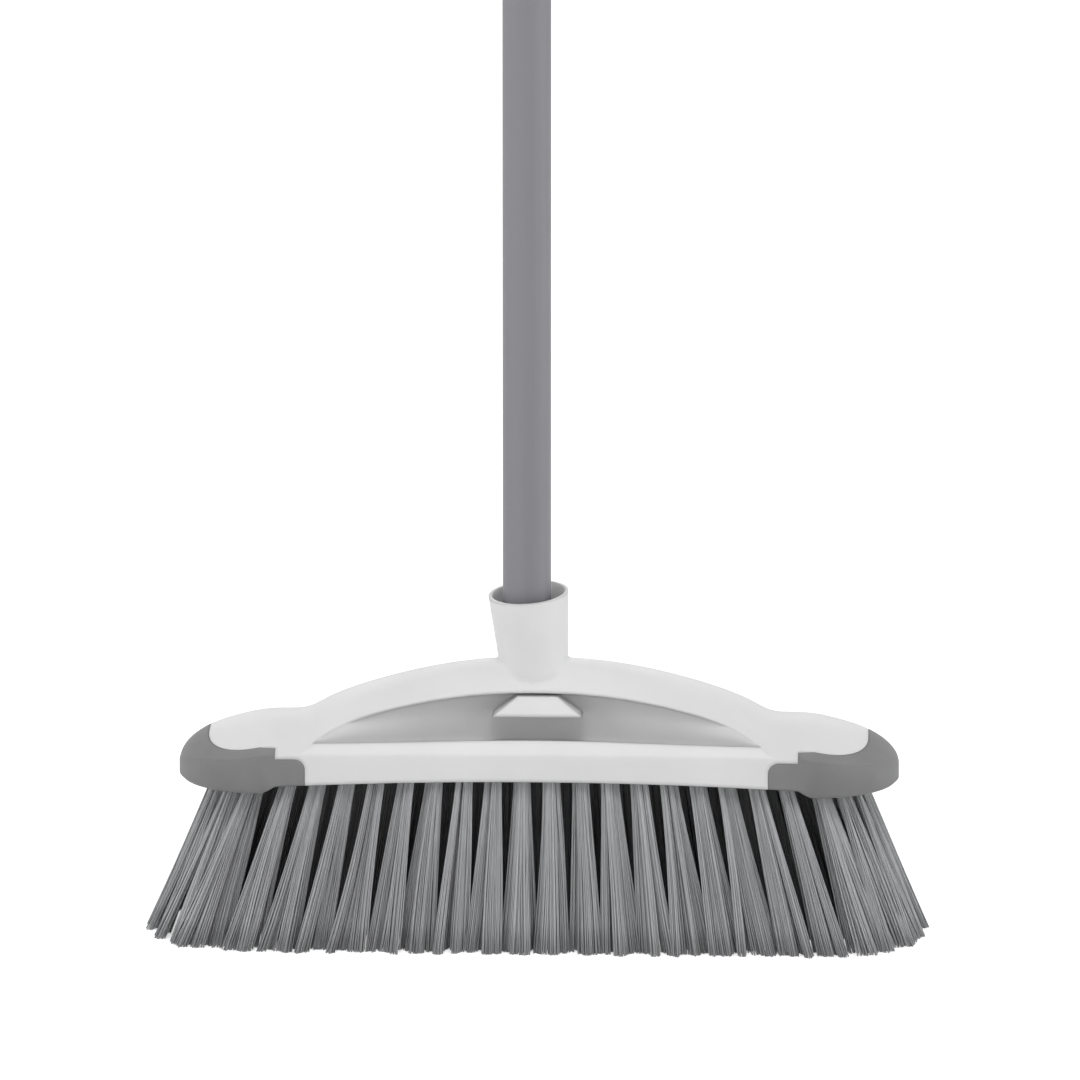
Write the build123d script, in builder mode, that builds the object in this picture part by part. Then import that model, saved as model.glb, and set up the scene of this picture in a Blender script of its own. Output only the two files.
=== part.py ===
from math import atan2, cos, degrees, hypot, pi, radians, sin, sqrt, tan
import os

from build123d import *

os.makedirs("parts", exist_ok=True)

# Handle tube: the common 22 mm broom stick sets the scale of everything else
tube_od = 22.0
tube_wall = 0.9
tube_length = 1200.0
swage_depth = 0.5
swage_above = 10.0

# Head: length over the bumpers, depth at the waist and at the corners
head_length = 329.0
waist_depth = 70.0
corner_depth = 76.0
corner_inset = 38.5

# Heights: the skirt stands a bristle length above the floor and carries the rest
skirt_height = 77.0
skirt_arch = 2.0
fold_rise = 12.0
lip_rise = 7.0
shoulder_rise = 24.8
ridge_rise = 50.0
mouth_rise = 30.0

# Arched roof of the head
arch_radius = 240.0
shoulder_inset = 61.5
ridge_round_mid = 14.0
ridge_round_end = 40.0
roof_slope_mid = 42.0
roof_slope_end = 22.0

# Scoops along the front and the back
scoop_wall = 12.0
scoop_height = 22.2
scoop_taper = 2.3
scoop_pitch = 13.5
scoop_inset = 54.5
scoop_bend = 0.4
scoop_drop = 2.0
scoop_dip = 3.2
lip_run = 5.6

# Handle socket: leaning outer form around an upright bore, a little left of the middle
handle_offset = 5.5
mouth_flare = 7.3
mouth_shift = 0.5
waist_wall = 5.1
waist_shift = 2.9
socket_wall = 1.7
socket_blend = 1.5
socket_sink = 2.0
rim_tilt_side = 4.5
rim_tilt_front = 4.5
throat_rise = 3.0
seat_drop = 9.0
tube_clearance = 0.4
thread_step = 1.2
thread_clearance = 0.25
thread_length = 24.0
tip_floor_gap = 1.5
tip_chamfer = 1.5
insert_length = 30.0
insert_clearance = 0.1

# Corner bumpers, measured from the ends of the head
bumper_reach = 45.9
bumper_nose = 14.2
bumper_side = 7.0
bumper_drop = 6.0
bumper_rise = 14.2
bumper_chamfer = 1.6
bumper_step = 6.0
tongue_round = 22.0
tab_run = 13.6
tab_rise = 10.3
tab_depth = 2.6
tab_round = 5.0

# Pad under the socket
pad_top_width = 18.0
pad_foot_width = 41.0
pad_head_drop = 13.8
pad_foot_drop = 22.3
pad_ledge = 8.5
pad_run = 12.5

# Tufts
tuft_pitch = 13.25
row_inset = 45.25
outer_row_inset = 6.5
inner_row = 10.0
ring_inset = 47.0
ring_radius = 27.3
ring_count = 7
ring_inner_radius = 15.0
ring_inner_count = 2
hole_radius = 4.2
hole_sides = 6
hole_depth = 10.5
plug_clearance = 0.12
plug_recess = 0.6
fan_along = 0.14
fan_across = 0.45
strand_radius = 1.4
strand_sides = 3
strands_per_tuft = 4
strand_ring_root = 2.2
strand_ring_tip = 5.0
strand_root = 2.5
anchor_bite = 0.35
anchor_height = 2.0
anchor_thickness = 0.4
anchor_inset = 1.2

# Hanging cap
cap_neck = 34.0
cap_plug = 28.0
cap_tongue = 10.0
cap_collar = 4.0
cap_edge = 1.2
cap_inset = 0.2
hang_hole_radius = 4.0
hang_hole_inset = 12.0

# How far cutting forms run past what they cut
margin = 6.0

# Places along the head, from its middle
half_length = head_length / 2
corner_station = half_length - corner_inset
shoulder_station = half_length - shoulder_inset
scoop_reach = half_length - scoop_inset
bumper_start = half_length - bumper_reach
tab_end = bumper_start - tab_run
tongue_tip = half_length - bumper_nose
tongue_width = corner_depth - 2 * bumper_side
handle_x = -handle_offset

# Heights above the floor
bumper_bottom = skirt_height - bumper_drop
bumper_top = skirt_height + bumper_rise
tab_top = skirt_height + tab_rise
fold_height = skirt_height + fold_rise
lip_height = fold_height + lip_rise
scoop_floor = lip_height - scoop_drop
shoulder_height = skirt_height + shoulder_rise
ridge_height = skirt_height + ridge_rise
mouth_height = ridge_height + mouth_rise
throat_height = ridge_height + throat_rise
tube_seat = ridge_height - seat_drop

# Socket and tube share one axis
tube_radius = tube_od / 2
tube_bore = tube_radius - tube_wall
bore_radius = tube_radius - swage_depth + tube_clearance
thread_radius = tube_radius - thread_step
waist_radius = bore_radius + waist_wall
mouth_radius = tube_radius + mouth_flare
mouth_bore = mouth_radius - socket_wall


# Height of the roof ridge along the head
def ridge_at(x):
    reach = abs(x)
    if reach <= shoulder_station:
        return ridge_height - arch_radius + sqrt(arch_radius ** 2 - reach ** 2)
    part = min((reach - shoulder_station) / (half_length - shoulder_station), 1.0)
    return skirt_height + (shoulder_height - skirt_height) * sqrt(1 - part ** 2.2)


# One cross section of the roof: a rounded ridge with straight slopes
def roof_section(x):
    blend = max(0.0, cos(pi / 2 * min(abs(x) / shoulder_station, 1.0))) ** 2
    slope = radians(roof_slope_end + (roof_slope_mid - roof_slope_end) * blend)
    rounding = ridge_round_end + (ridge_round_mid - ridge_round_end) * blend
    top = ridge_at(x)
    side = rounding * sin(slope)
    knee = top - rounding * (1 - cos(slope))
    reach = corner_depth / 2 + margin
    eave = knee - (reach - side) * tan(slope)
    with BuildSketch(Plane.YZ.offset(x)) as section:
        with BuildLine():
            Polyline((-side, knee), (-reach, eave), (-reach, 0), (reach, 0), (reach, eave), (side, knee))
            ThreePointArc((side, knee), (0, top), (-side, knee))
        make_face()
    return section.sketch


# Plan outline of the head, waisted along its length and round at the ends
with BuildSketch() as plan:
    with BuildLine():
        waist = waist_depth / 2
        corner = corner_depth / 2
        ThreePointArc((-corner_station, -corner), (0, -waist), (corner_station, -corner))
        ThreePointArc((corner_station, -corner), (half_length, 0), (corner_station, corner))
        ThreePointArc((corner_station, corner), (0, waist), (-corner_station, corner))
        ThreePointArc((-corner_station, corner), (-half_length, 0), (-corner_station, -corner))
    make_face()

# Roof solid from sections along the head, closer where the ends round down
end_length = half_length - shoulder_station
roof_stations = [shoulder_station * share for share in (0.39, 0.73, 0.92)]
roof_stations += [shoulder_station + end_length * share
                  for share in (0.065, 0.276, 0.537, 0.732, 0.862, 0.943, 0.998)]
with BuildPart() as roof:
    stations = sorted([-s for s in roof_stations] + [0] + roof_stations)
    loft([roof_section(s) for s in stations])

# Whole outer form of the head with its bumpers
with BuildPart() as envelope:
    with BuildSketch(Plane.XY.offset(bumper_bottom)):
        add(plan.sketch)
    extrude(amount=fold_height - bumper_bottom)
    with BuildSketch(Plane.XY.offset(fold_height)):
        add(plan.sketch)
    extrude(amount=lip_rise, taper=degrees(atan2(lip_run, lip_rise)))
    with BuildSketch(Plane.XY.offset(lip_height)):
        add(plan.sketch)
        offset(amount=-lip_run, kind=Kind.INTERSECTION, mode=Mode.REPLACE)
    extrude(amount=ridge_height - lip_height + margin)
    add(roof.part, mode=Mode.INTERSECT)


# One section of the scoop: an upright back wall under a level ceiling, with a floor that climbs to the lip
def scoop_section(x):
    share = abs(x) / scoop_reach
    swing = (hypot(scoop_bend, share) - scoop_bend) / (hypot(scoop_bend, 1) - scoop_bend)
    wall = scoop_wall + (waist_depth / 2 - scoop_wall) * swing
    floor = scoop_floor - scoop_dip * (1 - share ** 2)
    ceiling = floor + scoop_height * (1 - share ** scoop_taper)
    front = wall + waist_depth / 2
    climb = (front - wall) * tan(radians(scoop_pitch))
    with BuildSketch(Plane.YZ.offset(x)) as section:
        with BuildLine():
            Polyline((-wall, floor), (-wall, ceiling), (-front, ceiling + climb), (-front, floor + climb),
                     close=True)
        make_face()
    return section.sketch


# Scoop tool, hollowing the front under an overhanging brow
with BuildPart() as scoop:
    loft([scoop_section(scoop_reach * sin(pi / 2 * k / 6.4)) for k in range(-6, 7)])

# Shallow arch of the underside
arch_span = half_length + margin
arch_fall = skirt_arch * (arch_span / tab_end) ** 2
under_radius = (arch_span ** 2 + arch_fall ** 2) / (2 * arch_fall)
with BuildPart() as under_arch:
    with BuildSketch(Plane.XZ):
        with BuildLine():
            low = skirt_height - arch_fall
            ThreePointArc((-arch_span, low), (0, skirt_height), (arch_span, low))
            Polyline((arch_span, low), (arch_span, 0), (-arch_span, 0), (-arch_span, low))
        make_face()
    extrude(amount=corner_depth, both=True)


# Height of the underside along the head
def foot_at(x):
    return skirt_height - under_radius + sqrt(under_radius ** 2 - x ** 2)


# Plan of one bumper around the tongue of the block
with BuildSketch(Plane.XY.offset(bumper_bottom)) as horseshoe_plan:
    with Locations((bumper_start, 0)):
        Rectangle(half_length, corner_depth + 2 * margin, align=(Align.MIN, Align.CENTER))
    with Locations((tongue_tip, 0)):
        RectangleRounded(2 * tongue_tip, tongue_width, tongue_round, align=(Align.MAX, Align.CENTER),
                         mode=Mode.SUBTRACT)

# Horseshoe space of one bumper: level along the sides, up to the roof around the tip
with BuildPart() as horseshoe_space:
    add(horseshoe_plan.sketch)
    extrude(amount=bumper_top - bumper_bottom)
    with BuildSketch(Plane.XY.offset(bumper_bottom)):
        add(horseshoe_plan.sketch)
        with Locations((tongue_tip - tongue_round, 0)):
            Rectangle(half_length, corner_depth + 2 * margin, align=(Align.MIN, Align.CENTER),
                      mode=Mode.INTERSECT)
    extrude(amount=ridge_height - bumper_bottom)
    with BuildSketch(Plane.XZ):
        with BuildLine():
            Polyline((bumper_start, bumper_bottom), (bumper_start + bumper_step, bumper_bottom),
                     (bumper_start, foot_at(bumper_start)), close=True)
        make_face()
    extrude(amount=corner_depth, both=True, mode=Mode.SUBTRACT)

# Space of the low tabs that run from the bumper along the skirt
tab_floor = corner_depth / 2 - tab_depth
with BuildPart() as tab_space:
    with BuildSketch(Plane.XZ.offset(tab_floor)):
        with BuildLine():
            Polyline((tab_end, tab_top - tab_round), (tab_end, bumper_bottom),
                     (bumper_start, bumper_bottom), (bumper_start, tab_top),
                     (tab_end + tab_round, tab_top))
            bend = tab_round * (1 - sqrt(0.5))
            ThreePointArc((tab_end + tab_round, tab_top), (tab_end + bend, tab_top - bend),
                          (tab_end, tab_top - tab_round))
        make_face()
    extrude(amount=corner_depth / 4)
    mirror(about=Plane.XZ)

# White blank: outer form above the arched underside, with both scoops
with BuildPart() as blank:
    add(envelope.part)
    add(under_arch.part, mode=Mode.SUBTRACT)
    add(scoop.part, mode=Mode.SUBTRACT)
    add(mirror(scoop.part, about=Plane.XZ), mode=Mode.SUBTRACT)

# One bumper: the horseshoe reaches below the skirt, the tabs end level with it
with BuildPart() as bumper_right:
    add(horseshoe_space.part)
    add(envelope.part, mode=Mode.INTERSECT)
    with BuildPart(mode=Mode.PRIVATE) as tabs:
        add(tab_space.part)
        add(blank.part, mode=Mode.INTERSECT)
    add(tabs.part)


# Outer circle of the leaning socket at a height
def socket_ring(z):
    share = (z - ridge_height) / (mouth_height - ridge_height)
    radius = waist_radius + (mouth_radius - waist_radius) * share
    shift = waist_shift + (mouth_shift - waist_shift) * share
    with BuildSketch(Plane.XY.offset(z)) as ring:
        with Locations((handle_x + shift, 0)):
            Circle(radius)
    return ring.sketch


# Socket with its tilted rim
rim_normal = (-tan(radians(rim_tilt_side)), -tan(radians(rim_tilt_front)), 1)
rim_plane = Plane(origin=(handle_x, 0, mouth_height), z_dir=rim_normal)
socket_root = tube_seat - socket_sink
with BuildPart() as socket:
    loft([socket_ring(socket_root), socket_ring(mouth_height + margin)])
    with BuildSketch(rim_plane):
        Rectangle(4 * mouth_radius, 4 * mouth_radius)
    extrude(amount=2 * mouth_radius, mode=Mode.SUBTRACT)

# Sloping pad that carries the socket down into the scoop
pad_head = ridge_height - pad_head_drop
pad_foot = ridge_height - pad_foot_drop
pad_brow = scoop_wall + pad_ledge
pad_reach = scoop_wall + pad_run
with BuildPart() as pad:
    with BuildSketch(Plane.YZ):
        with BuildLine():
            Polyline((0, pad_head), (-pad_brow, pad_head),
                     (-pad_reach, pad_foot), (0, pad_foot), close=True)
        make_face()
    extrude(amount=pad_foot_width / 2, both=True)
    with BuildSketch(Plane.XZ):
        with BuildLine():
            Polyline((-pad_top_width / 2, pad_head), (-pad_foot_width / 2, pad_foot),
                     (pad_foot_width / 2, pad_foot), (pad_top_width / 2, pad_head), close=True)
        make_face()
    extrude(amount=2 * pad_reach, both=True, mode=Mode.INTERSECT)

# Mouth, tube seat and thread bore, all on the handle axis
bore_floor = tube_seat - thread_length - tip_floor_gap
with BuildPart() as socket_bore:
    with Locations((handle_x, 0, bore_floor)):
        Cylinder(thread_radius + thread_clearance, mouth_height - bore_floor,
                 align=(Align.CENTER, Align.CENTER, Align.MIN))
    with Locations((handle_x, 0, tube_seat)):
        Cylinder(bore_radius, mouth_height - tube_seat, align=(Align.CENTER, Align.CENTER, Align.MIN))
    flare_share = (mouth_height + margin - throat_height) / (mouth_height - throat_height)
    with BuildSketch(Plane.XY.offset(throat_height)) as throat:
        with Locations((handle_x, 0)):
            Circle(bore_radius)
    with BuildSketch(Plane.XY.offset(mouth_height + margin)) as flare:
        with Locations((handle_x + mouth_shift * flare_share, 0)):
            Circle(bore_radius + (mouth_bore - bore_radius) * flare_share)
    loft([throat.sketch, flare.sketch])

# Head block without its tuft holes
with BuildPart() as head_block:
    add(blank.part)
    add(socket.part)
    foot_edges = head_block.edges().filter_by(lambda e: pad_foot < e.center().Z < ridge_height)
    foot_edges = foot_edges.filter_by(lambda e: hypot(e.center().X, e.center().Y) < 2 * waist_radius)
    fillet(foot_edges.filter_by(lambda e: e.length < 3 * waist_radius), socket_blend)
    add(pad.part)
    add(mirror(pad.part, about=Plane.XZ))
    add(socket_bore.part, mode=Mode.SUBTRACT)
    add(bumper_right.part, mode=Mode.SUBTRACT)
    add(mirror(bumper_right.part, about=Plane.YZ), mode=Mode.SUBTRACT)

# Bumpers with a soft lower rim
with BuildPart() as bumper_soft:
    add(bumper_right.part)
    rim_edges = bumper_soft.faces().sort_by(Axis.Z)[0].edges().filter_by(GeomType.CIRCLE)
    chamfer(rim_edges.filter_by(lambda e: e.radius > tongue_round + 1), bumper_chamfer)
bumper_soft.part.label = "bumper_right"
export_step(bumper_soft.part, "parts/bumper_right.step")
with BuildPart() as bumper_left:
    add(mirror(bumper_soft.part, about=Plane.YZ))
bumper_left.part.label = "bumper_left"
export_step(bumper_left.part, "parts/bumper_left.step")

# Direction of a tuft: the fan opens along and across the head
def tuft_lean(x, y):
    return Vector(tan(radians(fan_along * x)), tan(radians(fan_across * y)), -1).normalized()


# Plane at the bottom of a tuft hole, looking out of the hole
def hole_plane(x, y):
    lean = tuft_lean(x, y)
    start = Vector(x, y, foot_at(x)) - lean * hole_depth
    return Plane(origin=start, x_dir=lean.cross(Vector(0, 1, 0)), z_dir=lean)


# Wire anchor place across the hole
def anchor_place(x, y):
    return Location(hole_plane(x, y) * Location((0, 0, anchor_inset + anchor_height / 2)))


# One tuft: a root bundle in its hole with strands that spread to the floor
plug_radius = hole_radius - plug_clearance
outer_row = waist_depth / 2 - outer_row_inset


def make_tuft(x, y):
    lean = tuft_lean(x, y)
    root = Vector(x, y, foot_at(x))
    tip = root + lean * (root.Z / -lean.Z)
    start = root - lean * strand_root
    strand_run = (tip - start).length + hole_depth
    places = []
    for k in range(strands_per_tuft):
        turn = atan2(y, x) + 2 * pi * k / strands_per_tuft
        way = Vector(cos(turn), sin(turn), 0)
        foot = start + way * strand_ring_root
        run = tip + way * strand_ring_tip - foot
        places.append(Plane(origin=foot, x_dir=run.cross(way), z_dir=run))
    with BuildPart() as tuft:
        with BuildSketch(hole_plane(x, y)):
            RegularPolygon(plug_radius, hole_sides)
        extrude(amount=hole_depth - plug_recess)
        with BuildSketch(*places):
            RegularPolygon(strand_radius, strand_sides)
        extrude(amount=strand_run)
        with Locations(anchor_place(x, y)):
            Box(2 * hole_radius, anchor_thickness, anchor_height, mode=Mode.SUBTRACT)
        with Locations((tip.X, tip.Y, 0)):
            Box(skirt_height, skirt_height, skirt_height, align=(Align.CENTER, Align.CENTER, Align.MAX),
                mode=Mode.SUBTRACT)
    return tuft.part


# Where the tufts stand: staggered cross rows along the head and two rings at each end
row_reach = half_length - row_inset
inner_gaps = round(2 * row_reach / tuft_pitch)
inner_step = 2 * row_reach / inner_gaps
inner_xs = [-row_reach + inner_step * k for k in range(inner_gaps + 1)]
outer_xs = [x + inner_step / 2 for x in inner_xs[:-1]]
ring_centre = half_length - ring_inset
ring_places = []
for k in range(ring_count):
    turn = pi * ((k + 1) / (ring_count + 1) - 0.5)
    ring_places.append((ring_centre + ring_radius * cos(turn), ring_radius * sin(turn)))
for k in range(ring_inner_count):
    turn = pi * ((k + 1) / (ring_inner_count + 1) - 0.5)
    ring_places.append((ring_centre + ring_inner_radius * cos(turn), ring_inner_radius * sin(turn)))
tuft_places = [(x, y) for x in outer_xs for y in (-outer_row, outer_row)]
tuft_places += [(x, y) for x in inner_xs for y in (-inner_row, inner_row)]
tuft_places += ring_places + [(-x, y) for x, y in ring_places]

# Tuft holes in the block
with BuildPart() as holes:
    with BuildSketch(*[hole_plane(x, y) for x, y in tuft_places]):
        RegularPolygon(hole_radius, hole_sides)
    extrude(amount=hole_depth + margin, clean=False)

with BuildPart() as head_drilled:
    add(head_block.part)
    add(holes.part, mode=Mode.SUBTRACT, clean=False)
head_drilled.part.label = "head_block"
export_step(head_drilled.part, "parts/head_block.step")

# Wire anchors, one across each hole, biting into its wall
with BuildPart() as tuft_anchors:
    with Locations([anchor_place(x, y) for x, y in tuft_places]):
        Box(2 * (hole_radius + anchor_bite), anchor_thickness, anchor_height)
tuft_anchors.part.label = "tuft_anchors"
export_step(tuft_anchors.part, "parts/tuft_anchors.step")

# Outer rows: a tuft at the front and one at the back of each column
for number, x in enumerate(outer_xs, start=1):
    with BuildPart() as outer_tufts:
        add([make_tuft(x, y) for y in (-outer_row, outer_row)])
    outer_tufts.part.label = f"outer_tufts_{number:02d}"
    export_step(outer_tufts.part, f"parts/{outer_tufts.part.label}.step")

# Inner rows, standing in the gaps of the outer ones
for number, x in enumerate(inner_xs, start=1):
    with BuildPart() as inner_tufts:
        add([make_tuft(x, y) for y in (-inner_row, inner_row)])
    inner_tufts.part.label = f"inner_tufts_{number:02d}"
    export_step(inner_tufts.part, f"parts/{inner_tufts.part.label}.step")

# Tufts around the ends
with BuildPart() as tufts_right_end:
    add([make_tuft(x, y) for x, y in ring_places])
tufts_right_end.part.label = "tufts_right_end"
export_step(tufts_right_end.part, "parts/tufts_right_end.step")
with BuildPart() as tufts_left_end:
    add([make_tuft(-x, y) for x, y in ring_places])
tufts_left_end.part.label = "tufts_left_end"
export_step(tufts_left_end.part, "parts/tufts_left_end.step")

# Handle tube: its swaged end stands on the seat in the socket
tube_top = tube_seat + tube_length
swage_top = throat_height + swage_above
with BuildPart() as handle_tube:
    with Locations((handle_x, 0, tube_seat)):
        Cylinder(tube_radius - swage_depth, tube_length, align=(Align.CENTER, Align.CENTER, Align.MIN))
    with Locations((handle_x, 0, swage_top)):
        Cylinder(tube_radius, tube_top - swage_top, align=(Align.CENTER, Align.CENTER, Align.MIN))
        Cylinder(tube_bore, tube_top - swage_top, align=(Align.CENTER, Align.CENTER, Align.MIN),
                 mode=Mode.SUBTRACT)
    with Locations((handle_x, 0, tube_seat)):
        Cylinder(tube_bore - swage_depth, tube_length, align=(Align.CENTER, Align.CENTER, Align.MIN),
                 mode=Mode.SUBTRACT)
handle_tube.part.label = "handle_tube"
export_step(handle_tube.part, "parts/handle_tube.step")

# Thread tip: core for the thread below the tube, plug inside its swaged end
with BuildPart() as thread_tip:
    with Locations((handle_x, 0, tube_seat - thread_length)):
        Cylinder(thread_radius, thread_length, align=(Align.CENTER, Align.CENTER, Align.MIN))
    chamfer(thread_tip.edges().group_by(Axis.Z)[0], tip_chamfer)
    with Locations((handle_x, 0, tube_seat)):
        Cylinder(tube_bore - swage_depth - insert_clearance, insert_length,
                 align=(Align.CENTER, Align.CENTER, Align.MIN))
    chamfer(thread_tip.edges().group_by(Axis.Z)[-1], tip_chamfer)
thread_tip.part.label = "thread_tip"
export_step(thread_tip.part, "parts/thread_tip.step")

# Hanging cap: plug in the tube and a flattened tongue with the hanging hole
cap_radius = tube_radius - cap_inset
cap_top = tube_top + cap_neck
hang_height = cap_top - hang_hole_inset
with BuildPart() as hang_cap:
    with Locations((handle_x, 0, tube_top)):
        Cylinder(cap_radius, cap_neck, align=(Align.CENTER, Align.CENTER, Align.MIN))
    with BuildSketch(Plane.XZ) as cap_side:
        with Locations((handle_x, cap_top - cap_radius)):
            Circle(cap_radius)
        with Locations((handle_x, tube_top)):
            Rectangle(2 * cap_radius, cap_neck - cap_radius, align=(Align.CENTER, Align.MIN))
    extrude(amount=tube_od, both=True, mode=Mode.INTERSECT)
    with BuildSketch(Plane.YZ) as cap_flats:
        with BuildLine():
            flat = cap_tongue / 2
            collar = tube_top + cap_collar
            shoulder = collar + tube_radius - flat
            Polyline((-tube_radius, tube_top), (tube_radius, tube_top), (tube_radius, collar),
                     (flat, shoulder), (flat, cap_top + margin), (-flat, cap_top + margin),
                     (-flat, shoulder), (-tube_radius, collar), close=True)
        make_face()
    extrude(amount=2 * tube_od, both=True, mode=Mode.INTERSECT)
    chamfer(hang_cap.edges().group_by(Axis.Z)[-1], cap_edge)
    with Locations((handle_x, 0, tube_top - cap_plug)):
        Cylinder(tube_bore - insert_clearance, cap_plug, align=(Align.CENTER, Align.CENTER, Align.MIN))
    with Locations(Location((handle_x, 0, hang_height), (90, 0, 0))):
        Cylinder(hang_hole_radius, tube_od, mode=Mode.SUBTRACT)
hang_cap.part.label = "hang_cap"
export_step(hang_cap.part, "parts/hang_cap.step")
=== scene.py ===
from math import cos, pi, radians, sin, sqrt, tan

import bpy
import numpy as np
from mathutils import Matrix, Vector


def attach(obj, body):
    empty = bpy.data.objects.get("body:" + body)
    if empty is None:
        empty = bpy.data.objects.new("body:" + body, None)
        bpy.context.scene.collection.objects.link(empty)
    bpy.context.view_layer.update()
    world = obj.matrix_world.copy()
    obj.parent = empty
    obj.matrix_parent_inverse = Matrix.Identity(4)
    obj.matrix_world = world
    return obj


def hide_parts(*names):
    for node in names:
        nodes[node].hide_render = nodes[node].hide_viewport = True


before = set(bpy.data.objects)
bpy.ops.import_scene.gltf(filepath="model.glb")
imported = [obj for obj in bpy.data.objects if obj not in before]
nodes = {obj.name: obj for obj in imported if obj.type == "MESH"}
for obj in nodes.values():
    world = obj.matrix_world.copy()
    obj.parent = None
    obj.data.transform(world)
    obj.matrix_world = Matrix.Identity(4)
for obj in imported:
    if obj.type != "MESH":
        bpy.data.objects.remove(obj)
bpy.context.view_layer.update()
rng = np.random.default_rng(11)


# Node helpers for the procedural materials
def new_material(name):
    mat = bpy.data.materials.new(name)
    mat.use_nodes = True
    tree = mat.node_tree
    tree.nodes.clear()
    out = tree.nodes.new("ShaderNodeOutputMaterial")
    shader = tree.nodes.new("ShaderNodeBsdfPrincipled")
    tree.links.new(shader.outputs["BSDF"], out.inputs["Surface"])
    return mat, tree, shader


def add(tree, kind, **values):
    node = tree.nodes.new(kind)
    for key, value in values.items():
        if hasattr(node, key):
            setattr(node, key, value)
        else:
            node.inputs[key.replace("_", " ")].default_value = value
    return node


def noise(tree, vector, scale, detail=3.0, rough=0.55):
    node = tree.nodes.new("ShaderNodeTexNoise")
    node.inputs["Scale"].default_value = scale
    node.inputs["Detail"].default_value = detail
    node.inputs["Roughness"].default_value = rough
    tree.links.new(vector, node.inputs["Vector"])
    return node.outputs["Fac"]


def place(tree, scale=(1, 1, 1)):
    coords = tree.nodes.new("ShaderNodeTexCoord")
    mapping = tree.nodes.new("ShaderNodeMapping")
    mapping.inputs["Scale"].default_value = scale
    tree.links.new(coords.outputs["Object"], mapping.inputs["Vector"])
    return mapping.outputs["Vector"]


def ramp(tree, fac, low, high, start=0.35, end=0.65):
    node = tree.nodes.new("ShaderNodeValToRGB")
    node.color_ramp.elements[0].position = start
    node.color_ramp.elements[1].position = end
    node.color_ramp.elements[0].color = (*low, 1)
    node.color_ramp.elements[1].color = (*high, 1)
    tree.links.new(fac, node.inputs["Fac"])
    return node.outputs["Color"]


def span(tree, fac, low, high):
    node = tree.nodes.new("ShaderNodeMapRange")
    node.inputs["To Min"].default_value = low
    node.inputs["To Max"].default_value = high
    tree.links.new(fac, node.inputs["Value"])
    return node.outputs["Result"]


def bump(tree, shader, height, strength, distance, soft_edge=None):
    node = tree.nodes.new("ShaderNodeBump")
    node.inputs["Strength"].default_value = strength
    node.inputs["Distance"].default_value = distance
    tree.links.new(height, node.inputs["Height"])
    if soft_edge:
        bevel = tree.nodes.new("ShaderNodeBevel")
        bevel.samples = 6
        bevel.inputs["Radius"].default_value = soft_edge
        tree.links.new(bevel.outputs["Normal"], node.inputs["Normal"])
    tree.links.new(node.outputs["Normal"], shader.inputs["Normal"])


# White moulded plastic: fine grain, faint cloudiness, softened edges, painted shade darkening the hollows
# below the socket
PAINTED_SHADE_TOP, PAINTED_SHADE_END = 0.114, 0.124
white, tree, shader = new_material("white_plastic")
where = place(tree)
cloud = ramp(tree, noise(tree, where, 22, 4), (0.765, 0.765, 0.765), (0.80, 0.80, 0.80))
# Painted shade: an occlusion node darkens the base colour by up to 26 percent in hollows
hollow = add(tree, "ShaderNodeAmbientOcclusion", samples=12, only_local=True, Distance=0.022)
depth = add(tree, "ShaderNodeMapRange", From_Min=0.70, From_Max=0.96, To_Min=0.74, To_Max=1.0)
tree.links.new(hollow.outputs["AO"], depth.inputs["Value"])
# The painted shade fades out between these heights, so that it falls only below the socket
height = tree.nodes.new("ShaderNodeSeparateXYZ")
tree.links.new(where, height.inputs["Vector"])
painted_shade_mask = add(tree, "ShaderNodeMapRange", From_Min=PAINTED_SHADE_TOP, From_Max=PAINTED_SHADE_END, To_Min=1.0, To_Max=0.0)
tree.links.new(height.outputs["Z"], painted_shade_mask.inputs["Value"])
# Multiply the painted shade into the plastic's colour
painted_shade = add(tree, "ShaderNodeMix", data_type="RGBA", blend_type="MULTIPLY")
tree.links.new(painted_shade_mask.outputs["Result"], painted_shade.inputs["Factor"])
tree.links.new(cloud, painted_shade.inputs["A"])
tree.links.new(depth.outputs["Result"], painted_shade.inputs["B"])
tree.links.new(painted_shade.outputs["Result"], shader.inputs["Base Color"])
tree.links.new(span(tree, noise(tree, where, 70, 3), 0.40, 0.54), shader.inputs["Roughness"])
shader.inputs["Specular IOR Level"].default_value = 0.38
bump(tree, shader, noise(tree, where, 1500, 2, 0.6), 0.10, 0.0003, 0.003)

# Grey soft rubber of the bumpers: matt, with a sandy grain
rubber, tree, shader = new_material("grey_rubber")
where = place(tree)
tint = ramp(tree, noise(tree, where, 35, 5), (0.222, 0.222, 0.223), (0.248, 0.248, 0.249))
tree.links.new(tint, shader.inputs["Base Color"])
tree.links.new(span(tree, noise(tree, where, 240, 3), 0.62, 0.78), shader.inputs["Roughness"])
shader.inputs["Specular IOR Level"].default_value = 0.30
shader.inputs["Sheen Weight"].default_value = 0.06
bump(tree, shader, noise(tree, where, 1900, 2, 0.65), 0.16, 0.0003, 0.002)

# Coated tube: satin paint with a faint orange peel and long drawn streaks
coat, tree, shader = new_material("coated_tube")
where = place(tree, (1, 1, 0.02))
tint = ramp(tree, noise(tree, where, 160, 3), (0.242, 0.239, 0.256), (0.260, 0.257, 0.274))
tree.links.new(tint, shader.inputs["Base Color"])
peel = place(tree)
tree.links.new(span(tree, noise(tree, peel, 90, 3), 0.50, 0.60), shader.inputs["Roughness"])
shader.inputs["Specular IOR Level"].default_value = 0.34
shader.inputs["Coat Weight"].default_value = 0.04
shader.inputs["Coat Roughness"].default_value = 0.35
bump(tree, shader, noise(tree, peel, 420, 2), 0.05, 0.0003)

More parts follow.
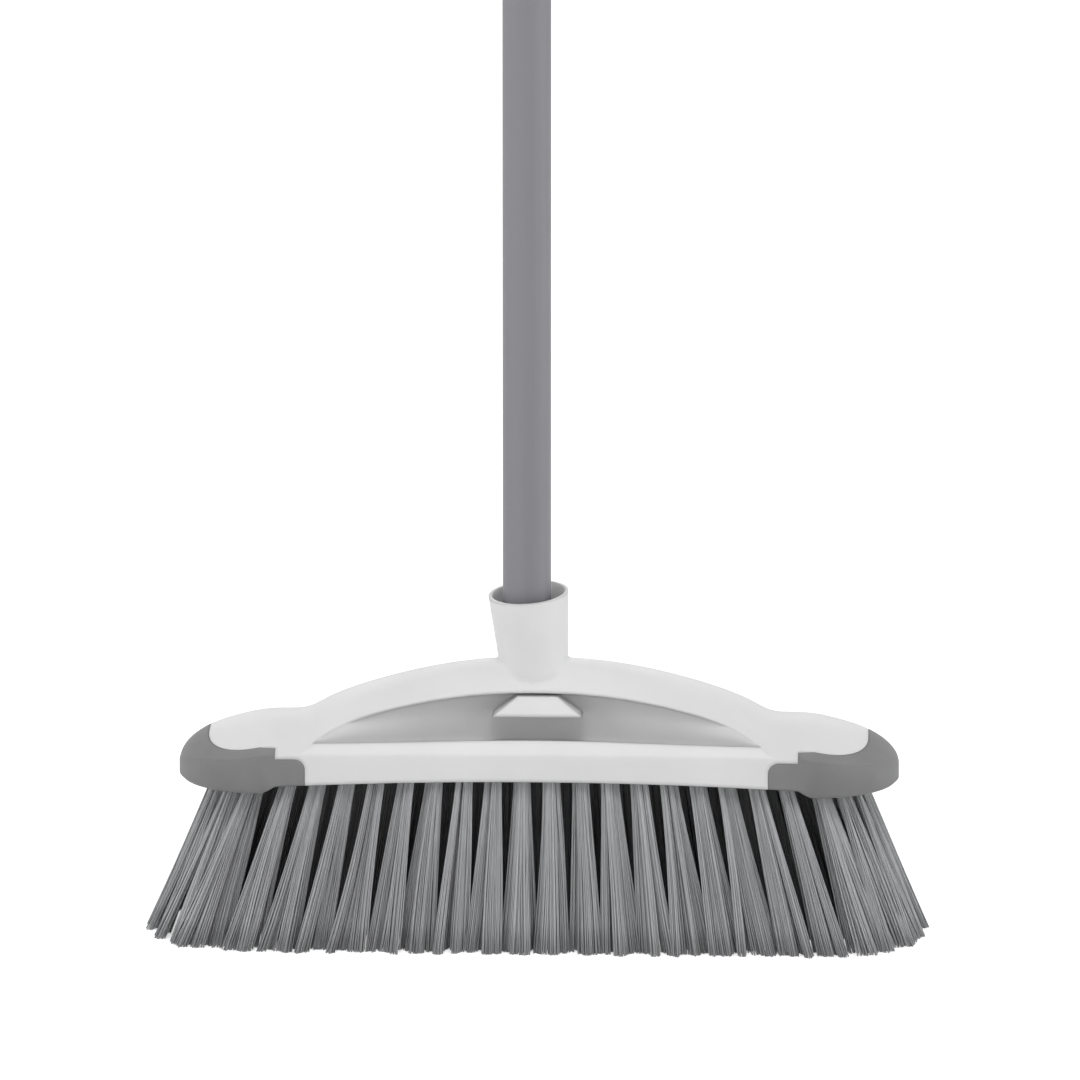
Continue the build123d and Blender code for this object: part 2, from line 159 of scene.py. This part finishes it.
# Grey hard plastic of the cap and the thread tip
hard, tree, shader = new_material("grey_plastic")
where = place(tree)
tint = ramp(tree, noise(tree, where, 40, 4), (0.205, 0.205, 0.215), (0.235, 0.235, 0.245))
tree.links.new(tint, shader.inputs["Base Color"])
tree.links.new(span(tree, noise(tree, where, 120, 3), 0.45, 0.58), shader.inputs["Roughness"])
bump(tree, shader, noise(tree, where, 1200, 2), 0.10, 0.0003, 0.0006)

# Drawn steel wire of the anchors
wire, tree, shader = new_material("anchor_wire")
where = place(tree, (1, 1, 0.1))
tint = ramp(tree, noise(tree, where, 900, 2), (0.50, 0.50, 0.51), (0.62, 0.62, 0.63))
tree.links.new(tint, shader.inputs["Base Color"])
tree.links.new(span(tree, noise(tree, where, 500, 2), 0.28, 0.42), shader.inputs["Roughness"])
shader.inputs["Metallic"].default_value = 1.0

# Grey filament: tones differ from strand to strand, the inner rows are darkened by painted shade, with a
# satin drawn surface
filament, tree, shader = new_material("grey_filament")
tone_and_painted_shade = tree.nodes.new("ShaderNodeAttribute")
tone_and_painted_shade.attribute_name = "tone_and_painted_shade"
where = place(tree, (1, 1, 0.05))
streak = ramp(tree, noise(tree, where, 700, 2), (0.90, 0.90, 0.90), (1.0, 1.0, 1.0))
mixed = add(tree, "ShaderNodeMix", data_type="RGBA", blend_type="MULTIPLY", Factor=1.0)
tree.links.new(tone_and_painted_shade.outputs["Color"], mixed.inputs["A"])
tree.links.new(streak, mixed.inputs["B"])
tree.links.new(mixed.outputs["Result"], shader.inputs["Base Color"])
tree.links.new(span(tree, noise(tree, where, 300, 2), 0.42, 0.56), shader.inputs["Roughness"])
shader.inputs["Specular IOR Level"].default_value = 0.45

# Materials on the solids that stay
finishes = {"head_block": white, "bumper_left": rubber, "bumper_right": rubber, "handle_tube": coat,
            "thread_tip": hard, "hang_cap": hard, "tuft_anchors": wire}
for name, mat in finishes.items():
    mesh = nodes[name].data
    mesh.materials.clear()
    mesh.materials.append(mat)

# Smooth shading across the curved faces, sharp at edges over an angle in degrees
WELD_REACH = 0.000004
creases = {"head_block": 26, "bumper_left": 55, "bumper_right": 55, "handle_tube": 40, "thread_tip": 40,
           "hang_cap": 30}
for name, angle in creases.items():
    obj = nodes[name]
    weld = obj.modifiers.new("weld", "WELD")
    weld.merge_threshold = WELD_REACH
    crease = obj.modifiers.new("crease", "EDGE_SPLIT")
    crease.use_edge_sharp = False
    crease.split_angle = radians(angle)
    obj.data.shade_smooth()

# Tuft layout in millimetres, as in the solids
MM = 0.001
SKIRT, ARCH, TAB_END, HALF = 77.0, 2.0, 105.0, 164.5
MARGIN = 6.0
ARCH_SPAN = HALF + MARGIN
ARCH_FALL = ARCH * (ARCH_SPAN / TAB_END) ** 2
UNDER_R = (ARCH_SPAN ** 2 + ARCH_FALL ** 2) / (2 * ARCH_FALL)
FAN_ALONG, FAN_ACROSS = 0.14, 0.45
OUTER, INNER, PITCH = 28.5, 10.0, 13.25
OUTER_COLUMNS, INNER_COLUMNS = 18, 19
RING_X = 117.5
RINGS_OF_TUFTS = ((7, 27.3), (2, 15.0))

# One tuft: its locks of strands, and the bundle's half width at root and tip
LOCKS, PER_LOCK, STEPS = 7, 18, 7
STRAND_R = 0.40
ROOT_R, TIP_ALONG, TIP_ACROSS, FLARE = 3.5, 9.4, 7.3, 1.2
END_ROOT, END_ALONG, END_LEAN = 3.8, 13.2, 1.07
IN_HOLE = 3.0

# Places and sizes of the locks in a bundle of half width 1, and how they draw together towards the tip
LOCK_ROW, LOCK_DEPTH, LOCK_STRAY, LOCK_SIZE = 0.7, 0.8, 0.05, 0.32
CLUMP, CLUMP_RISE, DRIFT = 0.22, 1.4, 0.08

# Bends of lock and strand, and how uneven the trimmed tips are, in millimetres
BOW, STRAY, WAVE = 0.40, 0.18, 0.10
RAGGED, TRIMMED = 0.9, 0.4

# Tones of filament, painted shade of the outer rows and of the darker rows behind the front one, and the
# spread of tones
FILAMENT_TONE, OUTER_PAINTED_SHADE, INNER_PAINTED_SHADE = 0.47, 1.0, 0.32
LOCK_TONES, STRAND_TONES = (0.93, 1.07), (0.95, 1.05)
FILAMENT_TINT = (0.985, 1.0, 1.02)


def foot_at(x):
    return SKIRT - UNDER_R + sqrt(UNDER_R ** 2 - x ** 2)


# Points inside a unit disc, well spread
def spread(count, turn):
    k = np.arange(count) + 0.5
    radius = np.sqrt(k / count)
    angle = turn + k * pi * (3 - sqrt(5))
    return np.stack([radius * np.cos(angle), radius * np.sin(angle)], 1)


# One tuft as locks of fine strands that leave the hole together and open towards the floor, toned with the
# row's painted shade
def tuft_strands(x, y, heading, tone_with_painted_shade):
    root, tip_along, reach = (END_ROOT, END_ALONG, END_LEAN) if abs(x) > RING_X else (ROOT_R, TIP_ALONG, 1)
    along = np.array([cos(heading), sin(heading)])
    across = np.array([-sin(heading), cos(heading)])
    lean = np.array([reach * tan(radians(FAN_ALONG * x)), tan(radians(FAN_ACROSS * y))])
    length = foot_at(x)
    row = np.linspace(-LOCK_ROW, LOCK_ROW, LOCKS)
    homes = np.stack([row + rng.normal(0, LOCK_STRAY, LOCKS), rng.permutation(row) * LOCK_DEPTH], 1)
    paths, tones = [], []
    for home in homes:
        lock_tone = tone_with_painted_shade * rng.uniform(*LOCK_TONES)
        bow = rng.normal(0, BOW, 2)
        drift = rng.normal(0, DRIFT, 2)
        for q in spread(PER_LOCK, rng.uniform(0, 2 * pi)) * LOCK_SIZE:
            end = max(0.0, abs(rng.normal(0, RAGGED)) - TRIMMED)
            depth = np.linspace(-IN_HOLE, length - end, STEPS)
            s = np.clip(depth / length, 0, 1)
            unit = home + np.outer(s, drift) + np.outer(1 - CLUMP * s ** CLUMP_RISE, q)
            unit[:, 0] *= root + (tip_along - root) * s ** FLARE
            unit[:, 1] *= root + (TIP_ACROSS - root) * s ** FLARE
            side = np.outer(unit[:, 0], along) + np.outer(unit[:, 1], across) + np.outer(np.sin(pi * s), bow)
            side += (np.outer(s, rng.normal(0, STRAY, 2))
                     + np.outer(np.sin(2 * pi * s), rng.normal(0, WAVE, 2)))
            path = np.empty((STEPS, 3))
            path[:, 0] = x + lean[0] * depth + side[:, 0]
            path[:, 1] = y + lean[1] * depth + side[:, 1]
            path[:, 2] = length - depth
            paths.append(path)
            tones.append(lock_tone * rng.uniform(*STRAND_TONES))
    return paths, tones


# Mesh of many thin three-sided strands
def strand_mesh(name, paths, tones):
    path = np.array(paths) * MM
    count = len(path)
    turn = rng.uniform(0, 2 * pi, count)
    angles = turn[:, None] + np.arange(3) * 2 * pi / 3
    ring = np.stack([np.cos(angles), np.sin(angles), np.zeros_like(angles)], 2) * STRAND_R * MM
    verts = (path[:, :, None, :] + ring[:, None, :, :]).reshape(-1, 3)
    base = (np.arange(count) * STEPS * 3)[:, None]
    quads = []
    for r in range(STEPS - 1):
        for k in range(3):
            a = r * 3 + k
            b = r * 3 + (k + 1) % 3
            quads.append(base + np.array([[a, b, b + 3, a + 3]]))
    quads = np.stack(quads, 1).reshape(-1, 4)[:, ::-1]
    tips = base + np.array([[STEPS * 3 - 3, STEPS * 3 - 2, STEPS * 3 - 1]])
    faces = quads.tolist() + tips[:, ::-1].tolist()
    mesh = bpy.data.meshes.new(name)
    mesh.from_pydata(verts.tolist(), [], faces)
    mesh.shade_smooth()
    # Each strand's colour: its random tones times the row's painted shade
    tone_with_painted_shade = np.repeat(FILAMENT_TONE * np.array(tones), STEPS * 3)
    colours = np.stack([*(tone_with_painted_shade * t for t in FILAMENT_TINT), np.ones_like(tone_with_painted_shade)], 1)
    layer = mesh.color_attributes.new("tone_and_painted_shade", "FLOAT_COLOR", "POINT")
    layer.data.foreach_set("color", colours.reshape(-1).astype(np.float32))
    mesh.materials.append(filament)
    obj = bpy.data.objects.new(name, mesh)
    bpy.context.scene.collection.objects.link(obj)
    return obj


def plant(name, places, node, tone_with_painted_shade):
    paths, tones = [], []
    for x, y, heading in places:
        p, t = tuft_strands(x, y, heading, tone_with_painted_shade)
        paths += p
        tones += t
    obj = strand_mesh(name, paths, tones)
    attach(obj, "head")
    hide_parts(node)


# Tufts in the long rows, a front and a back one a column, then those around the ends; the inner rows get
# painted shade
rows = (("outer", OUTER_COLUMNS, OUTER, OUTER_PAINTED_SHADE), ("inner", INNER_COLUMNS, INNER, INNER_PAINTED_SHADE))
for kind, columns, reach, tone_with_painted_shade in rows:
    for column in range(columns):
        x = (column - (columns - 1) / 2) * PITCH
        places = [(x, -reach, 0), (x, reach, 0)]
        plant(f"{kind}_bristles_{column + 1:02d}", places, f"{kind}_tufts_{column + 1:02d}", tone_with_painted_shade)
ring_places = []
for count, radius in RINGS_OF_TUFTS:
    for k in range(count):
        turn = pi * ((k + 1) / (count + 1) - 0.5)
        ring_places.append((RING_X + radius * cos(turn), radius * sin(turn), turn + pi / 2))
mirrored = [(-x, y, -heading) for x, y, heading in ring_places]
plant("bristles_right_end", ring_places, "tufts_right_end", OUTER_PAINTED_SHADE)
plant("bristles_left_end", mirrored, "tufts_left_end", OUTER_PAINTED_SHADE)


# Rays that see the background: the camera's own, and those mirrored or bent by the object
def seen_ray(tree):
    path = tree.nodes.new("ShaderNodeLightPath")
    seen = path.outputs["Is Camera Ray"]
    for kind in ("Is Glossy Ray", "Is Transmission Ray"):
        either = add(tree, "ShaderNodeMath", operation="MAXIMUM")
        tree.links.new(seen, either.inputs[0])
        tree.links.new(path.outputs[kind], either.inputs[1])
        seen = either.outputs["Value"]
    return seen


# Floor, light and camera
FLOOR = 9
floor_mesh = bpy.data.meshes.new("floor")
floor_mesh.from_pydata([(-FLOOR, -FLOOR, 0), (FLOOR, -FLOOR, 0), (FLOOR, FLOOR, 0), (-FLOOR, FLOOR, 0)], [],
                       [(0, 1, 2, 3)])
floor = bpy.data.objects.new("floor", floor_mesh)
bpy.context.scene.collection.objects.link(floor)
pale, tree, shader = new_material("pale_floor")
shader.inputs["Base Color"].default_value = (0.88, 0.88, 0.88, 1)
shader.inputs["Roughness"].default_value = 0.9
shader.inputs["Specular IOR Level"].default_value = 0.1
shader.inputs["Emission Color"].default_value = (1, 1, 1, 1)
tree.links.new(span(tree, seen_ray(tree), 0.0, 0.60), shader.inputs["Emission Strength"])
floor_mesh.materials.append(pale)

world = bpy.data.worlds.new("studio")
bpy.context.scene.world = world
world.use_nodes = True
sky = world.node_tree.nodes["Background"]
sky.inputs["Color"].default_value = (1, 1, 1, 1)
world.node_tree.links.new(span(world.node_tree, seen_ray(world.node_tree), 0.30, 1.0), sky.inputs["Strength"])


def area(name, spot, target, size, power):
    light = bpy.data.lights.new(name, "AREA")
    light.shape = "RECTANGLE"
    light.size, light.size_y = size
    light.energy = power
    obj = bpy.data.objects.new(name, light)
    obj.location = spot
    obj.rotation_euler = (Vector(target) - Vector(spot)).to_track_quat("-Z", "Y").to_euler()
    bpy.context.scene.collection.objects.link(obj)


area("key", (0.1, -1.7, 3.2), (0, 0, 0.1), (2.6, 1.4), 46)
area("left", (-3.2, -0.9, 1.0), (0, 0, 0.2), (1.8, 1.6), 33)
area("right", (3.2, -0.9, 1.0), (0, 0, 0.2), (1.8, 1.6), 33)
area("front", (0.3, -4.6, 1.2), (0, 0, 0.3), (3.0, 1.4), 12)
area("back", (-0.3, 3.6, 2.2), (0, 0, 0.3), (3.0, 1.6), 28)

AZIMUTH, ELEVATION, DISTANCE, FIELD = radians(2.0), radians(13.0), 4.5, 0.491
LOOK_HEIGHT, LOOK_SIDE, SENSOR = 0.1817, 0.00043, 36.0
right = Vector((cos(AZIMUTH), sin(AZIMUTH), 0))
target = Vector((0, 0, LOOK_HEIGHT)) + right * LOOK_SIDE
away = Vector((sin(AZIMUTH) * cos(ELEVATION), -cos(AZIMUTH) * cos(ELEVATION), sin(ELEVATION)))
cam = bpy.data.cameras.new("camera")
cam.sensor_width = SENSOR
cam.sensor_fit = "HORIZONTAL"
cam.lens = SENSOR * DISTANCE / FIELD
cam.clip_end = 50
camera = bpy.data.objects.new("camera", cam)
camera.location = target + away * DISTANCE
camera.rotation_euler = (target - camera.location).to_track_quat("-Z", "Y").to_euler()
bpy.context.scene.collection.objects.link(camera)
bpy.context.scene.camera = camera
bpy.context.scene.view_settings.view_transform = "Standard"
